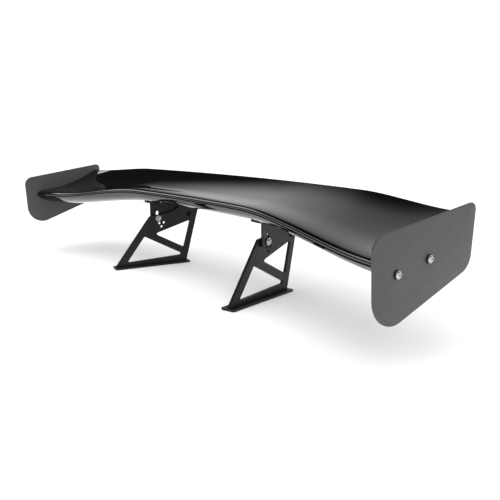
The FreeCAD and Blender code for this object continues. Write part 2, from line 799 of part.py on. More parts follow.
def foot(side):
    """Flat bar under each stand plate: mounting holes at the ends, countersinks below."""
    label = f"{SIDE_NAME[side]}_foot"
    body = doc.addObject("PartDesign::Body", label)
    sketch = new_sketch(body, f"{label}_outline", "XY_Plane")
    corners = []
    for wide, long in (("-", "-"), ("", "-"), ("", ""), ("-", "")):
        corners.append((f"{wide}$foot_width / 2", f"{long}$foot_length / 2"))
    loop(sketch, [(evaluated(a), evaluated(b)) for a, b in corners])
    for i, (across, up) in enumerate(corners):
        place_point(sketch, i, 1, across, up)
    pad(body, f"{label}_pad", sketch, "$foot_thick")
    ends = [V(evaluated(a), evaluated(b), 0) for a, b in corners]
    round_corners(body, f"{label}_corners", UP, ends, "$foot_corner")
    rows = []
    for across in ("-$foot_hole_across / 2", "$foot_hole_across / 2"):
        for up in ("-($foot_length / 2 - $foot_hole_inset)", "$foot_length / 2 - $foot_hole_inset"):
            rows.append((across, up, "$foot_hole_diameter"))
    rows += foot_screw_rows("$foot_screw_diameter")
    holes = pocket(body, f"{label}_holes", circles(body, f"{label}_hole_marks", "XY_Plane", rows))
    sink = body.newObject("PartDesign::Chamfer", f"{label}_countersinks")
    sink.Base = (holes, low_screw_edges(holes))
    bind(sink, "Size", "($foot_screw_head - $foot_screw_diameter) / 2 + $foot_screw_sink")
    doc.recompute()
    put_in_stand_frame(body, side)
    return tag(body, label)


def low_screw_edges(holes):
    """Rims of the middle row of holes on the underside."""
    names = []
    for i, edge in enumerate(holes.Shape.Edges, start=1):
        centre = edge.CenterOfMass
        if edge.Curve.TypeId == "Part::GeomCircle" and abs(centre.z) < 0.01 and abs(centre.x) < 0.01:
            names.append(f"Edge{i}")
    return names


def end_plate(side):
    """Flat plate that closes the tip, with rounded corners and two bolt holes."""
    label = f"{SIDE_NAME[side]}_end_plate"
    body = doc.addObject("PartDesign::Body", label)
    sketch = new_sketch(body, f"{label}_outline", "YZ_Plane")
    top = "($tail_rise - $tail_drop - $nose_rise + $nose_drop + $plate_top_margin)"
    rear = "$chord_tip + $plate_rear_margin"
    corners = [
        ("-$plate_front_margin", f"{top} - $plate_top_slope"),
        (rear, top),
        (f"{rear} - $plate_rear_lean", f"{top} - $plate_rear_height"),
        ("-$plate_front_margin + $plate_front_lean", f"{top} - $plate_top_slope - $plate_front_height"),
    ]
    loop(sketch, [(evaluated(a), evaluated(b)) for a, b in corners])
    for i, (across, up) in enumerate(corners):
        place_point(sketch, i, 1, across, up)
    pad(body, f"{label}_pad", sketch, "$plate_thick")
    corner_names = ("top_front", "top_rear", "low_rear", "low_front")
    for i, name in enumerate(corner_names):
        point = sketch_corners(sketch, (i,))
        round_corners(body, f"{label}_{name}", V(1, 0, 0), point, f"$plate_{name}_radius")
    break_rim(body, f"{label}_rim", V(1, 0, 0), "$plate_edge_break")
    rows = []
    for row in ("front", "rear"):
        place = (f"$plate_screw_{row}_back", f"$plate_screw_{row}_up", "$plate_screw_diameter")
        rows.append(place)
    pocket(body, f"{label}_holes", circles(body, f"{label}_hole_marks", "YZ_Plane", rows))
    offset = "$wing_span / 2 - $plate_thick" if side == RIGHT else "-$wing_span / 2"
    bind(body, "Placement.Base.x", offset)
    bind(body, "Placement.Base.y", "$feet_setback - $nose_lead - $nose_sweep")
    bind(body, "Placement.Base.z", "$pivot_height + $nose_rise - $nose_drop")
    doc.recompute()
    return tag(body, label)


# ---------------------------------------------------------------- fasteners


def primitive(kind, name, **formulas):
    thing = doc.addObject(kind, name)
    for path, formula in formulas.items():
        bind(thing, path, formula)
    return thing


def cylinder(name, diameter, height, start="0"):
    """Round bar along Z from a start height."""
    bar = primitive("Part::Cylinder", name, Radius=f"({diameter}) / 2", Height=height)
    if start != "0":
        bind(bar, "Placement.Base.z", start)
    return bar


def cut(name, base, tool):
    result = doc.addObject("Part::Cut", name)
    result.Base, result.Tool = base, tool
    return result


def fuse(name, base, tool):
    result = doc.addObject("Part::Fuse", name)
    result.Base, result.Tool = base, tool
    return result


def button_bolt(name, diameter, length, head, height, flats):
    """Button head screw: shank along +Z, domed head with a hexagon socket below z = 0."""
    shank = cylinder(f"{name}_shank", diameter, length)
    cap = cylinder(f"{name}_cap", head, height, f"-({height})")
    doc.recompute()
    dome = doc.addObject("Part::Fillet", f"{name}_dome")
    dome.Base = cap
    rim = next(
        i for i, e in enumerate(cap.Shape.Edges, start=1)
        if e.Curve.TypeId == "Part::GeomCircle" and e.CenterOfMass.z < -evaluated(height) / 2
    )
    radius = DOME_SHARE * evaluated(height)
    dome.Edges = [(rim, radius, radius)]
    key = primitive("Part::Prism", f"{name}_key", Circumradius=f"({flats}) / 2 / cos(30)")
    key.Polygon = 6
    bind(key, "Height", f"({height}) * {SOCKET_SHARE}")
    bind(key, "Placement.Base.z", f"-({height})")
    whole = fuse(f"{name}_solid", shank, cut(f"{name}_head", dome, key))
    doc.recompute()
    return whole


DOME_SHARE, SOCKET_SHARE = 0.8, 0.6


def ring(name, outside, inside, height):
    whole = cut(name, cylinder(f"{name}_disc", outside, height), cylinder(f"{name}_bore", inside, height))
    doc.recompute()
    return whole


def hex_nut(name):
    block = primitive("Part::Prism", f"{name}_block", Circumradius="$nut_flats / 2 / cos(30)")
    block.Polygon = 6
    bind(block, "Height", "$nut_height")
    whole = cut(name, block, cylinder(f"{name}_bore", "$bolt_diameter", "$nut_height"))
    doc.recompute()
    return whole


def countersunk_screw(name):
    """Flat-head screw along +Z: cone head from z = 0 down to the shank."""
    slope = "($foot_screw_head - $foot_screw_diameter) / 2"
    head = primitive("Part::Cone", f"{name}_cone", Radius1="$foot_screw_head / 2")
    bind(head, "Radius2", "$foot_screw_diameter / 2")
    bind(head, "Height", slope)
    key = primitive("Part::Prism", f"{name}_key", Circumradius=f"{FOOT_SOCKET} / 2 / cos(30)")
    key.Polygon = 6
    bind(key, "Height", f"{slope} * {SOCKET_SHARE}")
    shank = cylinder(f"{name}_shank", "$foot_screw_diameter", "$foot_screw_length - $foot_screw_sink")
    whole = cut(name, fuse(f"{name}_body", head, shank), key)
    doc.recompute()
    return whole


FOOT_SOCKET = 3


def facing(point, direction):
    """Placement that stands a fastener's +Z along a direction."""
    return FreeCAD.Placement(point, FreeCAD.Rotation(UP, direction))


def group(label, maker, places):
    """A set of identical fasteners in one node, one solid for each placement."""
    pieces = []
    for i, place in enumerate(places, start=1):
        piece = maker(f"{label}_{i}")
        piece.Placement = place
        pieces.append(piece)
    whole = doc.addObject("Part::Compound", label)
    whole.Links = pieces
    doc.recompute()
    return tag(whole, label)


def washer_disc(name):
    return ring(name, "$washer_diameter", "$bolt_diameter", "$washer_wall")


def taper_washer(name):
    """Washer from a flat seat at z = 0 to a face sloped by the toe angle."""
    height = "$taper_washer_wall + $washer_diameter * tan($toe_angle)"
    block = ring(f"{name}_block", "$washer_diameter", "$bolt_diameter", height)
    waste = primitive("Part::Box", f"{name}_waste", Length="3 * $washer_diameter")
    bind(waste, "Width", "3 * $washer_diameter")
    bind(waste, "Height", "$washer_diameter")
    turn = FreeCAD.Rotation(V(1, 0, 0), size("toe_angle"))
    half = 1.5 * size("washer_diameter")
    middle = V(0, 0, evaluated(TAPER_MIDDLE))
    waste.Placement = FreeCAD.Placement(middle - turn.multVec(V(half, half, 0)), turn)
    whole = cut(name, block, waste)
    doc.recompute()
    return whole


TAPER_MIDDLE = "$taper_washer_wall + $washer_diameter / 2 * tan($toe_angle)"


def loose_ring(name):
    """Spacer with a clearance bore, so that the pivot bolt can lean in it."""
    height = "$bracket_gap - $spacer_slack"
    return ring(name, "$washer_diameter", "$bolt_diameter + $bolt_play", height)


def joint_bolt(name, length):
    """Button head bolt of the pivot or the clamp, with room for the nut."""
    full = f"{length} + $nut_height + $bolt_tail"
    return button_bolt(name, "$bolt_diameter", full, "$head_diameter", "$head_height", "$socket_flats")


JOINT_STACK = "$stand_thick + $bracket_gap + $bracket_wall"


def clamp_joint():
    """Bolts square to the stands, through the curved slots of the brackets."""

    def places(out):
        height = size("pivot_height") - size("clamp_drop")
        for side in (RIGHT, LEFT):
            point = stand_frame(side, out).multVec(V(0, size("clamp_back"), height))
            yield facing(point, outboard(side) * -1)

    def bolt(name):
        return joint_bolt(name, f"{JOINT_STACK} + $clamp_slack + 2 * $washer_wall")

    face = size("stand_thick") / 2
    gap, washer = size("bracket_gap"), size("washer_wall")
    head_at = face + gap + size("bracket_wall") + size("clamp_slack") + washer
    group("clamp_bolts", bolt, places(head_at))
    group("clamp_washers", washer_disc, [*places(head_at), *places(-face)])
    group("clamp_spacers", loose_ring, places(face + gap - size("spacer_slack")))
    group("clamp_nuts", hex_nut, places(-face - washer))


def pivot_joint():
    """Bolts on one line across the wing, seated on washers tapered by the toe angle."""
    turn = math.radians(size("toe_angle"))

    def along_hinge(out):
        """Places on the hinge line, out from the middle of the web."""
        for side in (RIGHT, LEFT):
            middle = stand_frame(side, web_middle())
            point = middle.multVec(V(0, size("pivot_back"), size("pivot_height")))
            yield facing(point + V(side * out, 0, 0), V(-side, 0, 0))

    def bolt(name):
        return joint_bolt(name, f"({JOINT_STACK} + $pivot_slack) / cos($toe_angle) + 2 * ({TAPER_MIDDLE})")

    def spacers():
        out = size("stand_thick") / 2 + size("bracket_gap") - size("spacer_slack")
        lean = (web_middle() - out) * math.tan(turn)
        for side in (RIGHT, LEFT):
            point = stand_frame(side, out).multVec(V(0, size("pivot_back") + lean, size("pivot_height")))
            yield facing(point, outboard(side) * -1)

    taper = evaluated(TAPER_MIDDLE)
    outer = (size("bracket_wall") / 2 + size("pivot_slack")) / math.cos(turn) + taper
    inner = -(web_middle() + size("stand_thick") / 2) / math.cos(turn) - taper
    group("pivot_bolts", bolt, along_hinge(outer))
    backs = [FreeCAD.Placement(p.Base, p.Rotation.multiply(OVER)) for p in along_hinge(inner)]
    group("pivot_washers", taper_washer, [*along_hinge(outer), *backs])
    group("pivot_spacers", loose_ring, spacers())
    group("pivot_nuts", hex_nut, along_hinge(inner))


OVER = FreeCAD.Rotation(V(1, 0, 0), 180)


def tip_places(out):
    """The end plate screw axes, out from the plate's outer face, facing inboard."""
    for side in (RIGHT, LEFT):
        for y, z in plate_screw_points():
            yield facing(V(side * (size("wing_span") / 2 + out), y, z), V(-side, 0, 0))


def end_plate_fasteners():
    def screw(name):
        length = "$plate_washer_wall + $plate_thick + $end_rib_wall"
        head = ("$plate_screw_head", "$plate_screw_head_height", "$plate_socket_flats")
        return button_bolt(name, "$plate_screw_diameter", length, *head)

    def washer(name):
        return ring(name, "$plate_washer_diameter", "$plate_screw_diameter", "$plate_washer_wall")

    def insert(name):
        return ring(name, "$insert_diameter", "$plate_screw_diameter", "$end_rib_wall")

    group("end_plate_screws", screw, tip_places(size("plate_washer_wall")))
    group("end_plate_washers", washer, tip_places(size("plate_washer_wall")))
    group("end_plate_inserts", insert, tip_places(-size("plate_thick")))


def bracket_fasteners():
    def screw(name):
        head = ("$bracket_screw_head", "$bracket_screw_head_height", f"{FOOT_SOCKET}")
        return button_bolt(name, "$bracket_screw_diameter", "$bracket_screw_length", *head)

    axes = [axis for side in (RIGHT, LEFT) for axis in bracket_screw_axes(side)]
    group("bracket_screws", screw, [facing(point, upward) for point, upward in axes])


def foot_fasteners():
    places = []
    for side in (RIGHT, LEFT):
        for row in (-1, 0, 1):
            start = V(0, row * size("foot_screw_pitch"), size("foot_screw_sink"))
            places.append(facing(stand_frame(side).multVec(start), UP))
    group("foot_screws", countersunk_screw, places)


# ---------------------------------------------------------------- the whole wing


def build():
    shaped("upper_skin", skin(1))
    holes = [tool for side in (RIGHT, LEFT) for tool in screw_holes(side, skin_hole())]
    shaped("lower_skin", drilled(skin(-1), holes))
    shaped("front_spar", spar(size("front_spar_share")))
    shaped("rear_spar", spar(size("rear_spar_share")))
    for side in (LEFT, RIGHT):
        name = SIDE_NAME[side]
        shaped(f"{name}_end_rib", end_rib(side))
        shaped(f"{name}_hardpoint", hardpoint(side))
        shaped(f"{name}_bracket", bracket(side))
        end_plate(side)
        stand_plate(side)
        foot(side)
    pivot_joint()
    clamp_joint()
    end_plate_fasteners()
    bracket_fasteners()
    foot_fasteners()


def skin_hole():
    return size("bracket_screw_diameter") + 2 * SCREW_PLAY


def check():
    """Stops the build if any object failed or any sub-part is not a sound solid."""
    for thing in doc.Objects:
        if {"Invalid", "Error"} & set(thing.State):
            raise RuntimeError(f"{thing.Label} failed: {thing.State}")
    for node in NODES:
        if node.Shape.isNull() or not node.Shape.isValid() or not node.Shape.Solids:
            raise RuntimeError(f"{node.Label} is not a valid solid")


def export():
    os.makedirs("parts", exist_ok=True)
    for node in NODES:
        node.Shape.exportStep(f"parts/{node.Label}.step")


build()
doc.recompute()
check()
export()
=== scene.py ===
import json
import math

import bmesh
import bpy
from mathutils import Matrix, Vector


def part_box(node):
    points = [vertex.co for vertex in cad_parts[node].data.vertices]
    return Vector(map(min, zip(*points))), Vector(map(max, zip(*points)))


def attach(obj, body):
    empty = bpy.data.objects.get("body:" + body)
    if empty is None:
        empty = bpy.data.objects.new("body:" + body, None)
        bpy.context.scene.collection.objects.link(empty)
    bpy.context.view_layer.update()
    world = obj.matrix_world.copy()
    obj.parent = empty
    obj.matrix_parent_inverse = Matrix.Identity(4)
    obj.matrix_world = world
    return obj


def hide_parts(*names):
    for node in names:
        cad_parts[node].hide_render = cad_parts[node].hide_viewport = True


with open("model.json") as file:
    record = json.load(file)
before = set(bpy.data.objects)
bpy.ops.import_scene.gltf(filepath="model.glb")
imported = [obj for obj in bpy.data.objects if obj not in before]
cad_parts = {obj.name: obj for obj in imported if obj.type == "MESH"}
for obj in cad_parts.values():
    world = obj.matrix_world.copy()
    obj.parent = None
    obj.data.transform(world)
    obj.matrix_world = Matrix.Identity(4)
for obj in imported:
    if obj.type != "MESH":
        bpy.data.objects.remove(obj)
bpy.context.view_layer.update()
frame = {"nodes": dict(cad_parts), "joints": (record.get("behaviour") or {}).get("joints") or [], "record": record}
nodes = frame["nodes"]
hinge = Vector(frame["joints"][0]["pos_m"])
foot_low, foot_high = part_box("right_foot")
feet_back = (foot_low.y + foot_high.y) / 2

# ---------------------------------------------------------------- blade
# The blade is two thin mouldings, one above and one below, glued along the tail and butted
# at the nose, where a dark seam shows. Its nose drops and sweeps forward towards the tips.
# Each moulding is one rule of sections along the span, sprayed gloss black.


class Term:
    """A number worked out inside a node tree: arithmetic on it adds Math nodes."""

    def __init__(self, tree, socket):
        self.tree, self.socket = tree, socket

    def join(self, operation, *others):
        node = self.tree.nodes.new("ShaderNodeMath")
        node.operation = operation
        self.tree.links.new(self.socket, node.inputs[0])
        for slot, other in zip(node.inputs[1:], others):
            plug(self.tree, slot, other)
        return Term(self.tree, node.outputs[0])

    def __add__(self, other):
        return self.join("ADD", other)

    def __sub__(self, other):
        return self.join("SUBTRACT", other)

    def __mul__(self, other):
        return self.join("MULTIPLY", other)

    def __truediv__(self, other):
        return self.join("DIVIDE", other)

    def __pow__(self, other):
        return self.join("POWER", other)

    def held(self, low, high):
        return self.join("MAXIMUM", low).join("MINIMUM", high)

    def smooth(self):
        return self * self * (self * -2 + 3)


def plug(tree, slot, value):
    """Fills an input with a socket, a term or a plain value."""
    if isinstance(value, Term):
        value = value.socket
    if isinstance(value, bpy.types.NodeSocket):
        tree.links.new(value, slot)
    else:
        slot.default_value = value


def add_node(tree, kind, inputs=(), **settings):
    node = tree.nodes.new(kind)
    for name, value in settings.items():
        setattr(node, name, value)
    for name, value in dict(inputs).items():
        plug(tree, node.inputs[name], value)
    return node


def new_tree(name, sizes):
    """Geometry tree with named inputs: sizes, then whole numbers, then a material."""
    tree = bpy.data.node_groups.new(name, "GeometryNodeTree")
    tree.interface.new_socket("Geometry", in_out="INPUT", socket_type="NodeSocketGeometry")
    for label in sizes:
        tree.interface.new_socket(label, in_out="INPUT", socket_type="NodeSocketFloat")
    tree.interface.new_socket("Steps", in_out="INPUT", socket_type="NodeSocketInt")
    tree.interface.new_socket("Finish", in_out="INPUT", socket_type="NodeSocketMaterial")
    tree.interface.new_socket("Geometry", in_out="OUTPUT", socket_type="NodeSocketGeometry")
    entry = tree.nodes.new("NodeGroupInput")
    return tree, entry.outputs


def close_tree(tree, given, geometry):
    """Ends a tree in real faces that carry the finish."""
    real = add_node(tree, "GeometryNodeRealizeInstances", {"Geometry": geometry})
    painted = add_node(tree, "GeometryNodeSetMaterial", {
        "Geometry": real.outputs["Geometry"],
        "Material": given["Finish"],
    })
    end = tree.nodes.new("NodeGroupOutput")
    tree.links.new(painted.outputs["Geometry"], end.inputs["Geometry"])


def grow(name, tree, sizes, steps, finish, seed_mesh=None, sharp=math.radians(32)):
    """Runs a tree with its inputs set and keeps the result as one plain mesh object."""
    holder = bpy.data.objects.new(f"{name}_tree", seed_mesh or bpy.data.meshes.new(f"{name}_seed"))
    bpy.context.scene.collection.objects.link(holder)
    modifier = holder.modifiers.new("shape", "NODES")
    modifier.node_group = tree
    values = dict(sizes, Steps=steps, Finish=finish)
    for item in tree.interface.items_tree:
        if item.in_out == "INPUT" and item.name in values:
            modifier[item.identifier] = values[item.name]
    bpy.context.view_layer.update()
    evaluated = holder.evaluated_get(bpy.context.evaluated_depsgraph_get())
    mesh = bpy.data.meshes.new_from_object(evaluated)
    mesh.name = name
    bpy.data.objects.remove(holder)
    mesh.shade_smooth()
    mesh.set_sharp_from_angle(angle=sharp)
    piece = bpy.data.objects.new(name, mesh)
    bpy.context.scene.collection.objects.link(piece)
    return piece


def finish_piece(piece, body, replaced):
    """Puts a finished piece on its body in place of the CAD node."""
    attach(piece, body)
    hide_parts(replaced)


def new_material(name, **values):
    """Principled material with plain values on the shader's own sockets."""
    material = bpy.data.materials.new(name)
    material.use_nodes = True
    shader = material.node_tree.nodes["Principled BSDF"]
    for key, value in values.items():
        shader.inputs[key.replace("_", " ")].default_value = value
    place = add_node(material.node_tree, "ShaderNodeTexCoord").outputs["Object"]
    return material, material.node_tree, shader, place


def speckle(tree, place, scale, detail=4.0):
    """Noise of a given fineness, per metre."""
    noise = add_node(tree, "ShaderNodeTexNoise", {"Vector": place, "Scale": scale, "Detail": detail})
    return noise.outputs["Fac"]


def ranged(tree, value, low, high, start=0.3, end=0.7):
    """Maps the useful middle of a noise to a range."""
    inputs = {"Value": value, "From Min": start, "From Max": end, "To Min": low, "To Max": high}
    return add_node(tree, "ShaderNodeMapRange", inputs).outputs["Result"]


def tinted(tree, value, dark, light):
    """Colour between two shades, by a value."""
    ramp = add_node(tree, "ShaderNodeValToRGB", {"Fac": value})
    ramp.color_ramp.elements[0].color = (*dark, 1)
    ramp.color_ramp.elements[1].color = (*light, 1)
    return ramp.outputs["Color"]


def bumped(tree, shader, height, strength, distance):
    bump = add_node(tree, "ShaderNodeBump", {"Height": height, "Strength": strength, "Distance": distance})
    tree.links.new(bump.outputs["Normal"], shader.inputs["Normal"])


def gloss_black_paint():
    """Black base under polished clear coat, with faint orange peel and polishing haze."""
    material, tree, shader, place = new_material(
        "gloss_black_paint", Coat_Weight=1.0, Coat_Roughness=0.02, Coat_IOR=1.6, Specular_IOR_Level=0.0
    )
    haze = speckle(tree, place, 7.0, 3.0)
    shades = tinted(tree, haze, (0.0015, 0.0015, 0.0018), (0.003, 0.003, 0.0034))
    plug(tree, shader.inputs["Base Color"], shades)
    plug(tree, shader.inputs["Roughness"], ranged(tree, speckle(tree, place, 23.0), 0.28, 0.36))
    bumped(tree, shader, speckle(tree, place, 300.0, 1.0), 0.01, 0.0001)
    return material


BLADE = {
    "Half Span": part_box("upper_skin")[1].x,
    "Nose Back": feet_back - 0.041,
    "Nose Height": hinge.z + 0.0805,
    "Nose Sweep": 0.1135,
    "Nose Drop": 0.041,
    "Nose Drop Start": 0.255,
    "Nose Drop End": 0.725,
    "Tail Height": hinge.z + 0.1295,
    "Tail Drop": 0.015,
    "Tail Drop Start": 0.480,
    "Tail Drop End": 0.760,
    "Chord Middle": 0.2058,
    "Chord Tip": 0.2253,
    "Thickness Share": 0.215,
    "Camber Share": 0.13,
    "Camber Place": 0.42,
    "Tail Edge": 0.0034,
    "Seam Gap": 0.0022,
    "Wall": 0.003,
}
BLADE_ROWS = 96
LAW = ((0.2969, 0.5), (-0.1260, 1.0), (-0.3516, 2.0), (0.2843, 3.0), (-0.1036, 4.0))


def blade_tree():
    """One moulding: a grid bent to the section rule, then given its wall."""
    tree, given = new_tree("blade_moulding", [*BLADE, "Face"])

    def value(label):
        return Term(tree, given[label])

    def dropped(reach, share, which):
        start, end = value(f"{which} Drop Start"), value(f"{which} Drop End")
        return value(f"{which} Drop") * ((reach - start) / (end - start)).held(0.0, 1.0).smooth()

    grid = add_node(tree, "GeometryNodeMeshGrid", {
        "Size X": value("Half Span") * 2,
        "Size Y": 1.0,
        "Vertices X": value("Steps") * 3,
        "Vertices Y": given["Steps"],
    })
    spot = add_node(tree, "GeometryNodeInputPosition")
    split = add_node(tree, "ShaderNodeSeparateXYZ", {"Vector": spot.outputs[0]})
    x = Term(tree, split.outputs["X"])
    reach = x.join("ABSOLUTE")
    share = reach / value("Half Span")
    k = ((Term(tree, split.outputs["Y"]) + 0.5) * (math.pi / 2)).join("COSINE") * -1 + 1

    nose_y = value("Nose Back") - value("Nose Sweep") * share * share
    nose_z = value("Nose Height") - dropped(reach, share, "Nose")
    plan = value("Chord Middle") + (value("Chord Tip") - value("Chord Middle")) * share * share
    rise = value("Tail Height") - dropped(reach, share, "Tail") - nose_z
    chord = (plan * plan + rise * rise).join("SQRT")

    place, deep = value("Camber Place"), value("Camber Share")
    ahead = (k * place * 2 - k * k) / (place * place)
    behind = (place * -2 + 1 + k * place * 2 - k * k) / ((place * -1 + 1) ** 2.0)
    aft = k.join("GREATER_THAN", place)
    mean = (ahead + (behind - ahead) * aft) * deep * -1
    law = k * 0.0
    for factor, power in LAW:
        law = law + (k ** power) * factor
    half = law * value("Thickness Share") * 5 + k * value("Tail Edge") / chord * 0.5
    seam = value("Seam Gap") / chord * 0.5
    along = k * chord
    across = (mean + (half.join("MAXIMUM", seam)) * value("Face")) * chord
    y = nose_y + (along * plan - across * rise) / chord
    z = nose_z + (along * rise + across * plan) / chord
    point = add_node(tree, "ShaderNodeCombineXYZ", {"X": x, "Y": y, "Z": z})
    bent = add_node(tree, "GeometryNodeSetPosition", {
        "Geometry": grid.outputs["Mesh"],
        "Position": point.outputs[0],
    }).outputs["Geometry"]
    turned = add_node(tree, "GeometryNodeFlipFaces", {
        "Mesh": bent,
        "Selection": Term(tree, given["Face"]).join("LESS_THAN", 0.0),
    }).outputs["Mesh"]
    normal = add_node(tree, "GeometryNodeInputNormal").outputs[0]
    thin = ((k * -1 + 1) * 9.0).held(0.35, 1.0)
    inward = add_node(tree, "ShaderNodeVectorMath", {0: normal, "Scale": value("Wall") * thin * -1},
                      operation="SCALE")
    wall = add_node(tree, "GeometryNodeExtrudeMesh", {
        "Mesh": turned,
        "Offset": inward.outputs[0],
        "Offset Scale": 1.0,
        "Individual": False,
    }, mode="FACES")
    inside = add_node(tree, "GeometryNodeFlipFaces", {"Mesh": wall.outputs["Mesh"]})
    both = tree.nodes.new("GeometryNodeJoinGeometry")
    tree.links.new(turned, both.inputs[0])
    tree.links.new(inside.outputs["Mesh"], both.inputs[0])
    closed = add_node(tree, "GeometryNodeMergeByDistance", {"Geometry": both.outputs[0], "Distance": 1e-5})
    close_tree(tree, given, closed.outputs[0])
    return tree


skin_paint = gloss_black_paint()
moulding = blade_tree()
for skin_name, face in (("upper_skin", 1.0), ("lower_skin", -1.0)):
    skin = grow(f"{skin_name}_gloss", moulding, dict(BLADE, Face=face), BLADE_ROWS, skin_paint)
    finish_piece(skin, "wing", skin_name)

# ---------------------------------------------------------------- flat plates
# End plates, stand plates and feet are cut from alloy sheet and bar. Their edges are broken
# with a file before they are coated, so every rim carries a thin soft line of light.


def softened(node_name, body, finish, edge, sharp=math.radians(35)):
    """Copy of a CAD plate as clean faces, with its sharp edges rounded off a little."""
    mesh = nodes[node_name].data.copy()
    mesh.name = f"{node_name}_softened"
    shape = bmesh.new()
    shape.from_mesh(mesh)
    bmesh.ops.remove_doubles(shape, verts=shape.verts, dist=1e-6)
    bmesh.ops.dissolve_limit(shape, angle_limit=math.radians(0.3), verts=shape.verts, edges=shape.edges)
    shape.to_mesh(mesh)
    shape.free()
    mesh.materials.clear()
    mesh.materials.append(finish)
    piece = bpy.data.objects.new(f"{node_name}_softened", mesh)
    bpy.context.scene.collection.objects.link(piece)
    rim = piece.modifiers.new("broken_edge", "BEVEL")
    rim.width, rim.segments = edge, 2
    rim.limit_method, rim.angle_limit = "ANGLE", sharp
    rim.use_clamp_overlap = True
    bpy.context.view_layer.update()
    evaluated = piece.evaluated_get(bpy.context.evaluated_depsgraph_get())
    done = bpy.data.meshes.new_from_object(evaluated)
    piece.modifiers.clear()
    piece.data = done
    done.shade_smooth()
    done.set_sharp_from_angle(angle=math.radians(24))
    finish_piece(piece, body, node_name)
    return piece


def satin_coated_sheet():
    """Dark satin coat on flat sheet: very fine grit, faint cloudiness, slight handling marks."""
    material, tree, shader, place = new_material("satin_coated_sheet", Specular_IOR_Level=0.45)
    cloud = speckle(tree, place, 11.0, 3.0)
    plug(tree, shader.inputs["Base Color"], tinted(tree, cloud, (0.046, 0.046, 0.047), (0.056, 0.056, 0.057)))
    plug(tree, shader.inputs["Roughness"], ranged(tree, speckle(tree, place, 60.0), 0.40, 0.50))
    bumped(tree, shader, speckle(tree, place, 2600.0, 2.0), 0.12, 0.0002)
    return material


def black_anodised_alloy():
    """Satin black anodised plate, with the faint lines of the rolling along it."""
    material, tree, shader, place = new_material("black_anodised_alloy", Specular_IOR_Level=0.3)
    lines = add_node(tree, "ShaderNodeMapping", {"Vector": place, "Scale": (40.0, 9.0, 900.0)})
    grain = speckle(tree, lines.outputs["Vector"], 1.0, 5.0)
    shades = tinted(tree, grain, (0.004, 0.004, 0.0043), (0.009, 0.009, 0.0095))
    plug(tree, shader.inputs["Base Color"], shades)
    plug(tree, shader.inputs["Roughness"], ranged(tree, grain, 0.34, 0.46))
    bumped(tree, shader, speckle(tree, place, 3200.0, 2.0), 0.10, 0.0002)
    return material


sheet_coat = satin_coated_sheet()
anodised = black_anodised_alloy()
for side in ("left", "right"):
    softened(f"{side}_end_plate", "wing", sheet_coat, 0.0006)
    softened(f"{side}_stand_plate", "stands", anodised, 0.0007)
    softened(f"{side}_foot", "stands", anodised, 0.0007)
    softened(f"{side}_bracket", "wing", anodised, 0.0006)

# ---------------------------------------------------------------- bolts and screws
# Button head bolts with washers, spacers and nuts: black at the pivot, on one line across
# the wing, and zinc plated at the clamps, square to the toed-in stands. Two flanged zinc
# heads hold each end plate over raised black washers.


def bright_zinc():
    """Bright zinc plate: fine turning marks and a slightly uneven shine."""
    material, tree, shader, place = new_material("bright_zinc", Metallic=1.0)
    cloud = speckle(tree, place, 180.0)
    plug(tree, shader.inputs["Base Color"], tinted(tree, cloud, (0.46, 0.46, 0.47), (0.62, 0.62, 0.63)))
    plug(tree, shader.inputs["Roughness"], ranged(tree, speckle(tree, place, 700.0), 0.26, 0.40))
    bumped(tree, shader, speckle(tree, place, 1500.0), 0.08, 0.0001)
    return material


def black_oxide():
    """Black oxide steel: dark, slightly oily, with worn brown-grey patches."""
    material, tree, shader, place = new_material("black_oxide", Metallic=0.7)
    cloud = speckle(tree, place, 260.0)
    plug(tree, shader.inputs["Base Color"], tinted(tree, cloud, (0.010, 0.010, 0.010), (0.028, 0.026, 0.025)))
    plug(tree, shader.inputs["Roughness"], ranged(tree, speckle(tree, place, 900.0), 0.34, 0.5))
    bumped(tree, shader, speckle(tree, place, 1800.0), 0.10, 0.0001)
    return material


def single_solids(node_name):
    """Corner points of each separate solid in a CAD node, in the order of its mesh."""
    shape = bmesh.new()
    shape.from_mesh(nodes[node_name].data)
    bmesh.ops.remove_doubles(shape, verts=shape.verts, dist=1e-6)
    seen, found = set(), []
    for first in shape.verts:
        if first in seen:
            continue
        seen.add(first)
        reached = [first]
        for vert in reached:
            for edge in vert.link_edges:
                other = edge.other_vert(vert)
                if other not in seen:
                    seen.add(other)
                    reached.append(other)
        found.append([vert.co.copy() for vert in reached])
    shape.free()
    return found


def seats(node_name, inboard, head):
    """Points on the fasteners' axes, a head's height in from their outer ends, with the axes."""
    mesh = bpy.data.meshes.new(f"{node_name}_seats")
    places, facings = [], []
    for corners in single_solids(node_name):
        axis = inboard(1 if corners[0].x > 0 else -1)
        level = axis.cross(Vector((0.0, 0.0, 1.0)))
        place = axis * (min(c.dot(axis) for c in corners) + head)
        for across in (level, level.cross(axis)):
            reach = [c.dot(across) for c in corners]
            place += across * (min(reach) + max(reach)) / 2
        places.append(place)
        facings.append(axis)
    mesh.from_pydata(places, [], [])
    facing = mesh.attributes.new("facing", "FLOAT_VECTOR", "POINT")
    facing.data.foreach_set("vector", [value for axis in facings for value in axis])
    return mesh


def across_wing(side):
    return Vector((-side, 0.0, 0.0))


mount_places = {mount["name"]: Vector(mount["pos_m"]) for mount in frame["record"]["mounts"]}
toed_back = (mount_places["right_foot_rear_bolts"] - mount_places["right_foot_front_bolts"]).normalized()


def square_to_stand(side):
    return Vector((-side * toed_back.y, toed_back.x, 0.0))


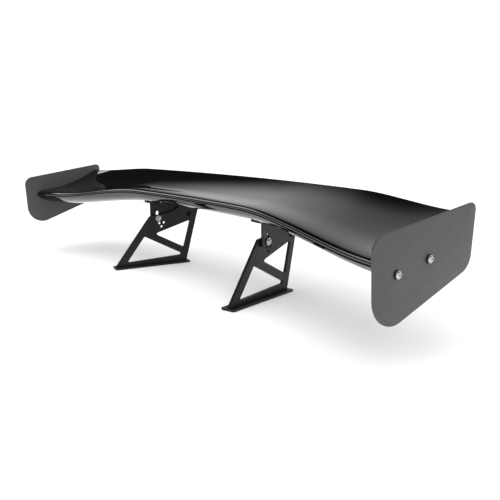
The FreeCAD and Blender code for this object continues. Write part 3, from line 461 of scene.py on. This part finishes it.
def stand_on_seats(tree, given, piece):
    """Repeats a piece on every seat, turned to its axis."""
    axis = add_node(tree, "GeometryNodeInputNamedAttribute", {"Name": "facing"}, data_type="FLOAT_VECTOR")
    facing = {"Vector": axis.outputs["Attribute"]}
    turned = add_node(tree, "FunctionNodeAlignRotationToVector", facing, axis="Z")
    return add_node(tree, "GeometryNodeInstanceOnPoints", {
        "Points": given["Geometry"],
        "Instance": piece,
        "Rotation": turned.outputs["Rotation"],
    }).outputs["Instances"]


def barrel(tree, radius, depth, middle, sides, rings=1):
    """Closed round or hexagonal bar about Z; middle is the height of its centre."""
    bar = add_node(tree, "GeometryNodeMeshCylinder", {
        "Vertices": sides,
        "Side Segments": rings,
        "Radius": radius,
        "Depth": depth,
    })
    lift = add_node(tree, "ShaderNodeCombineXYZ", {"Z": middle})
    return add_node(tree, "GeometryNodeTransform", {
        "Geometry": bar.outputs["Mesh"],
        "Translation": lift.outputs[0],
    }).outputs["Geometry"]


def carved(tree, body, tool, operation="DIFFERENCE"):
    made = add_node(tree, "GeometryNodeMeshBoolean", operation=operation, solver="EXACT")
    if operation == "DIFFERENCE":
        tree.links.new(body, made.inputs["Mesh 1"])
    else:
        tree.links.new(body, made.inputs["Mesh 2"])
    tree.links.new(tool, made.inputs["Mesh 2"])
    return made.outputs["Mesh"]


def rounded_top(tree, piece, radius_share, height):
    """Draws the rings of a bar in towards its outer end, as a dome."""
    position = add_node(tree, "GeometryNodeInputPosition").outputs[0]
    spot = add_node(tree, "ShaderNodeSeparateXYZ", {"Vector": position})
    up = Term(tree, spot.outputs["Z"]) * -1 / height
    shrink = (up.held(0.0, 1.0) ** 2.4 * (radius_share - 1.0) + 1.0)
    moved = add_node(tree, "ShaderNodeCombineXYZ", {
        "X": Term(tree, spot.outputs["X"]) * shrink,
        "Y": Term(tree, spot.outputs["Y"]) * shrink,
        "Z": spot.outputs["Z"],
    })
    placing = {"Geometry": piece, "Position": moved.outputs[0]}
    return add_node(tree, "GeometryNodeSetPosition", placing).outputs[0]


BOLT_SIZES = (
    "Head Diameter", "Head Height", "Socket Flats", "Shank Diameter", "Shank Length", "Flange Height",
)
HEXAGON_CORNER = 1 / (2 * math.cos(math.pi / 6))
DOME_TOP_SHARE = 0.62


def button_bolt_tree():
    """Domed head with a hexagon socket on a shank, and a thin flange under the head if asked for."""
    tree, given = new_tree("button_bolt", BOLT_SIZES)
    head, height, flats, shank, length, flange = (Term(tree, given[label]) for label in BOLT_SIZES)
    crown = height - flange
    dome = barrel(tree, head * 0.5 - flange, crown, crown * -0.5, given["Steps"], rings=7)
    dome = rounded_top(tree, dome, DOME_TOP_SHARE, crown)
    down = add_node(tree, "ShaderNodeCombineXYZ", {"Z": flange * -1})
    lowering = {"Geometry": dome, "Translation": down.outputs[0]}
    dome = add_node(tree, "GeometryNodeTransform", lowering).outputs[0]
    key = barrel(tree, flats * HEXAGON_CORNER, height, height * -0.9, 6)
    cap = carved(tree, dome, key)
    rim = barrel(tree, head * 0.5, flange + 0.0003, flange * -0.5, given["Steps"])
    stem = barrel(tree, shank * 0.5, length, length * 0.5, given["Steps"])
    whole = tree.nodes.new("GeometryNodeJoinGeometry")
    for piece in (cap, rim, stem):
        tree.links.new(piece, whole.inputs[0])
    close_tree(tree, given, stand_on_seats(tree, given, whole.outputs[0]))
    return tree


RING_SIZES = ("Outer Diameter", "Inner Diameter", "Thickness", "Edge")


def ring_tree():
    """Flat ring with rounded edges: a rectangle with filleted corners swept round a circle."""
    tree, given = new_tree("flat_ring", RING_SIZES)
    outer, inner, thick, edge = (Term(tree, given[label]) for label in RING_SIZES)
    path = add_node(tree, "GeometryNodeCurvePrimitiveCircle", {
        "Resolution": given["Steps"],
        "Radius": (outer + inner) * 0.25,
    }, mode="RADIUS")
    profile = add_node(tree, "GeometryNodeCurvePrimitiveQuadrilateral", {
        "Width": (outer - inner) * 0.5,
        "Height": thick,
    }, mode="RECTANGLE")
    eased = add_node(tree, "GeometryNodeFilletCurve", {
        "Curve": profile.outputs["Curve"],
        "Radius": edge,
        "Count": 2,
    }, mode="POLY")
    swept = add_node(tree, "GeometryNodeCurveToMesh", {
        "Curve": path.outputs["Curve"],
        "Profile Curve": eased.outputs["Curve"],
    })
    lift = add_node(tree, "ShaderNodeCombineXYZ", {"Z": thick * 0.5})
    lifting = {"Geometry": swept.outputs[0], "Translation": lift.outputs[0]}
    set_down = add_node(tree, "GeometryNodeTransform", lifting)
    close_tree(tree, given, stand_on_seats(tree, given, set_down.outputs[0]))
    return tree


NUT_SIZES = ("Flats", "Height", "Corner Share")


def nut_tree():
    """Hexagon nut whose outer corners are turned off round the outer face."""
    tree, given = new_tree("hexagon_nut", NUT_SIZES)
    flats, height, corner = (Term(tree, given[label]) for label in NUT_SIZES)
    block = barrel(tree, flats * HEXAGON_CORNER, height, height * 0.5, 6)
    turned = barrel(tree, flats * corner, height * 1.02, height * 0.5, given["Steps"], rings=8)
    position = add_node(tree, "GeometryNodeInputPosition").outputs[0]
    spot = add_node(tree, "ShaderNodeSeparateXYZ", {"Vector": position})
    up = (Term(tree, spot.outputs["Z"]) / height).held(0.0, 1.0)
    shrink = up ** 6.0 * -0.14 + 1.0
    drawn = add_node(tree, "ShaderNodeCombineXYZ", {
        "X": Term(tree, spot.outputs["X"]) * shrink,
        "Y": Term(tree, spot.outputs["Y"]) * shrink,
        "Z": spot.outputs["Z"],
    })
    placing = {"Geometry": turned, "Position": drawn.outputs[0]}
    turned = add_node(tree, "GeometryNodeSetPosition", placing).outputs[0]
    whole = carved(tree, block, turned, "INTERSECT")
    close_tree(tree, given, stand_on_seats(tree, given, whole))
    return tree


bolt_form, ring_form, nut_form = button_bolt_tree(), ring_tree(), nut_tree()
ROUND_STEPS = 40


def fit(node_name, body, form, sizes, inboard, finish, head=0.0):
    piece = grow(f"{node_name}_set", form, sizes, ROUND_STEPS, finish, seats(node_name, inboard, head))
    finish_piece(piece, body, node_name)


M8_HEAD, M8_HEAD_HEIGHT, M8_SOCKET, M8 = 0.014, 0.0044, 0.005, 0.008


def bolt_sizes(length):
    return dict(zip(BOLT_SIZES, (M8_HEAD, M8_HEAD_HEIGHT, M8_SOCKET, M8, length, 0.0)))


def long_side(node_name, axis):
    """Length of one fastener of a node along its axis."""
    reach = [corner.dot(axis) for corner in single_solids(node_name)[0]]
    return max(reach) - min(reach)


def ring_sizes(outer, inner, thick):
    return dict(zip(RING_SIZES, (outer, inner, thick, 0.0002)))


zinc, oxide = bright_zinc(), black_oxide()
M8_RING = 0.018
SPACER = ring_sizes(M8_RING, 0.0088, 0.0014)
WASHER = ring_sizes(M8_RING, M8, 0.0016)
M8_NUT = {"Flats": 0.013, "Height": 0.0065, "Corner Share": 0.56}
JOINTS = (("pivot", across_wing, oxide, "dark_steel"), ("clamp", square_to_stand, zinc, "bright_steel"))
for joint, inboard, finish, slot_name in JOINTS:
    corners = single_solids(f"{joint}_bolts")[0]
    axis = inboard(1 if corners[0].x > 0 else -1)
    length = long_side(f"{joint}_bolts", axis) - M8_HEAD_HEIGHT
    bolt = bolt_sizes(length)
    fit(f"{joint}_bolts", "stands", bolt_form, bolt, inboard, finish, M8_HEAD_HEIGHT)
    fit(f"{joint}_nuts", "stands", nut_form, M8_NUT, inboard, finish)
    fit(f"{joint}_spacers", "stands", ring_form, SPACER, square_to_stand, finish)
fit("clamp_washers", "stands", ring_form, WASHER, square_to_stand, zinc)

TIP_HEAD = {"Head Diameter": 0.015, "Head Height": 0.0035, "Socket Flats": 0.004, "Shank Diameter": 0.006,
            "Shank Length": 0.020, "Flange Height": 0.0009}
TIP_WASHER = ring_sizes(0.017, 0.006, 0.003)
tip_head_height = TIP_HEAD["Head Height"]
fit("end_plate_screws", "wing", bolt_form, TIP_HEAD, across_wing, zinc, tip_head_height)
fit("end_plate_washers", "wing", ring_form, TIP_WASHER, across_wing, oxide)


def paint_node(node_name, finish):
    """Gives a carried-over CAD piece its finish."""
    mesh = nodes[node_name].data
    mesh.materials.clear()
    mesh.materials.append(finish)


paint_node("pivot_washers", oxide)
paint_node("bracket_screws", oxide)
paint_node("foot_screws", oxide)

# ---------------------------------------------------------------- inside the blade
# Two laminate spar webs, plywood ribs that close the tips, tapped alloy blocks over the
# brackets and turned brass inserts. All are glued in before the skins are closed.


def plywood():
    """Birch plywood: thin plies on edge, warm and dull."""
    material, tree, shader, place = new_material("plywood", Roughness=0.7)
    ply_look = {"Vector": place, "Scale": 180.0, "Distortion": 1.2}
    plies = add_node(tree, "ShaderNodeTexWave", ply_look, bands_direction="X")
    colour = tinted(tree, plies.outputs["Fac"], (0.36, 0.23, 0.12), (0.62, 0.45, 0.27))
    plug(tree, shader.inputs["Base Color"], colour)
    bumped(tree, shader, speckle(tree, place, 900.0), 0.2, 0.0003)
    return material


def laminate():
    """Bare moulded laminate with a woven look."""
    material, tree, shader, place = new_material("laminate", Roughness=0.55)
    weave = add_node(tree, "ShaderNodeTexChecker", {"Vector": place, "Scale": 400.0}).outputs["Fac"]
    plug(tree, shader.inputs["Base Color"], tinted(tree, weave, (0.035, 0.035, 0.035), (0.085, 0.085, 0.085)))
    bumped(tree, shader, weave, 0.25, 0.0002)
    return material


def machined_alloy():
    """Milled alloy block with fine cutter lines."""
    material, tree, shader, place = new_material("machined_alloy", Metallic=1.0)
    lines = add_node(tree, "ShaderNodeMapping", {"Vector": place, "Scale": (60.0, 1400.0, 60.0)})
    grain = speckle(tree, lines.outputs["Vector"], 1.0)
    plug(tree, shader.inputs["Base Color"], tinted(tree, grain, (0.60, 0.60, 0.61), (0.76, 0.76, 0.77)))
    plug(tree, shader.inputs["Roughness"], ranged(tree, grain, 0.28, 0.42))
    return material


def turned_brass():
    """Turned brass, lightly tarnished."""
    material, tree, shader, place = new_material("turned_brass", Metallic=1.0)
    cloud = speckle(tree, place, 300.0)
    plug(tree, shader.inputs["Base Color"], tinted(tree, cloud, (0.62, 0.44, 0.20), (0.80, 0.62, 0.32)))
    plug(tree, shader.inputs["Roughness"], ranged(tree, cloud, 0.22, 0.38))
    return material


rib_finish, web_finish, block_finish = plywood(), laminate(), machined_alloy()
for spar in ("front_spar", "rear_spar"):
    paint_node(spar, web_finish)
for side in ("left", "right"):
    paint_node(f"{side}_end_rib", rib_finish)
    paint_node(f"{side}_hardpoint", block_finish)
paint_node("end_plate_inserts", turned_brass())

# ---------------------------------------------------------------- floor and light
# A pale floor under an even white sky. Only reflections see its panels, which are light at
# the horizon and dark overhead. One broad lamp high in front evens out the shade, and two
# panels light the nose and the right-hand end plate.


def pale_floor():
    material, tree, shader, place = new_material("pale_floor", Specular_IOR_Level=0.0, Roughness=1.0)
    shades = tinted(tree, speckle(tree, place, 3.0), (0.90, 0.90, 0.90), (0.91, 0.91, 0.91))
    plug(tree, shader.inputs["Base Color"], shades)
    return material


floor_mesh = bpy.data.meshes.new("floor")
disc = bmesh.new()
bmesh.ops.create_circle(disc, cap_ends=True, segments=96, radius=60.0)
disc.to_mesh(floor_mesh)
disc.free()
floor_mesh.materials.append(pale_floor())
floor = bpy.data.objects.new("floor", floor_mesh)
bpy.context.scene.collection.objects.link(floor)

world = bpy.data.worlds.new("studio")
bpy.context.scene.world = world
world.use_nodes = True
sky = world.node_tree
direction = add_node(sky, "ShaderNodeTexCoord").outputs["Generated"]
parts = add_node(sky, "ShaderNodeSeparateXYZ", {"Vector": direction})
east, north, rise = (Term(sky, parts.outputs[axis]) for axis in "XYZ")
flat_reach = (east * east + north * north).join("SQRT").join("MAXIMUM", 0.001)

# What the paint mirrors: a broad light panel behind the wing, with an edge on the left.
PANEL_END, PANEL_FADE = math.radians(65.5), 0.18
past_end = (east * math.cos(PANEL_END) + north * math.sin(PANEL_END)) / flat_reach
panel = (past_end / PANEL_FADE).held(0.0, 1.0).smooth()
front = ((north / flat_reach * -1 - 0.45) * 3).held(0.0, 1.0) * 0.30
shade = add_node(sky, "ShaderNodeValToRGB", {"Fac": rise})
SKY_STOPS = ((0.0, 0.78), (0.36, 0.74), (0.52, 0.56), (0.66, 0.38), (0.78, 0.10), (1.0, 0.03))
while len(shade.color_ramp.elements) < len(SKY_STOPS):
    shade.color_ramp.elements.new(0.5)
for stop, (position, level) in zip(shade.color_ramp.elements, SKY_STOPS):
    stop.position, stop.color = position, (level, level, level, 1)
light = Term(sky, shade.outputs["Color"]) * ((panel + front).join("MINIMUM", 1.0)) + 0.015
mirrored = Term(sky, add_node(sky, "ShaderNodeLightPath").outputs["Is Glossy Ray"])
light = light.join("MAXIMUM", mirrored * -1 + 1)
plug(sky, sky.nodes["Background"].inputs["Color"], light)
sky.nodes["Background"].inputs["Strength"].default_value = 1.0


def lamp(kind, name, place, aim, power, **sizes):
    data = bpy.data.lights.new(name, kind)
    data.energy = power
    for key, value in sizes.items():
        setattr(data, key, value)
    holder = bpy.data.objects.new(name, data)
    holder.location = place
    holder.rotation_euler = (Vector(aim) - Vector(place)).to_track_quat("-Z", "Y").to_euler()
    bpy.context.scene.collection.objects.link(holder)
    return holder


WING_MIDDLE = (0.0, 0.0, 0.2)
overhead = lamp("SUN", "broad_lamp", (1.0, -3.0, 5.0), WING_MIDDLE, 1.3, angle=math.radians(110))
overhead.visible_glossy = False
lamp("AREA", "nose_panel", (-2.66, -0.37, 1.94), WING_MIDDLE, 12.0, shape="RECTANGLE", size=1.6, size_y=1.1)
lamp("AREA", "right_panel", (3.2, -1.6, 1.4), WING_MIDDLE, 22.0, shape="RECTANGLE", size=1.8, size_y=1.4)
bpy.context.scene.view_settings.view_transform = "Standard"

# ---------------------------------------------------------------- camera
# Low, ahead of the right-hand tip, looking back and across the wing.
camera_data = bpy.data.cameras.new("camera")
camera = bpy.data.objects.new("camera", camera_data)
bpy.context.scene.collection.objects.link(camera)
bpy.context.scene.camera = camera
camera_data.sensor_width, camera_data.lens = 36.0, 45.99
EYE = Vector((1.4651, feet_back - 0.9699, 0.4418))
YAW, PITCH, ROLL = -0.9043, 0.2006, -0.0148
ahead = Vector((math.sin(YAW) * math.cos(PITCH), math.cos(YAW) * math.cos(PITCH), -math.sin(PITCH)))
level = Vector((math.cos(YAW), -math.sin(YAW), 0.0))
above = level.cross(ahead)
across_view = level * math.cos(ROLL) + above * math.sin(ROLL)
up_view = above * math.cos(ROLL) - level * math.sin(ROLL)
turn = Matrix((across_view, up_view, -ahead)).transposed()
camera.matrix_world = Matrix.Translation(EYE) @ turn.to_4x4()
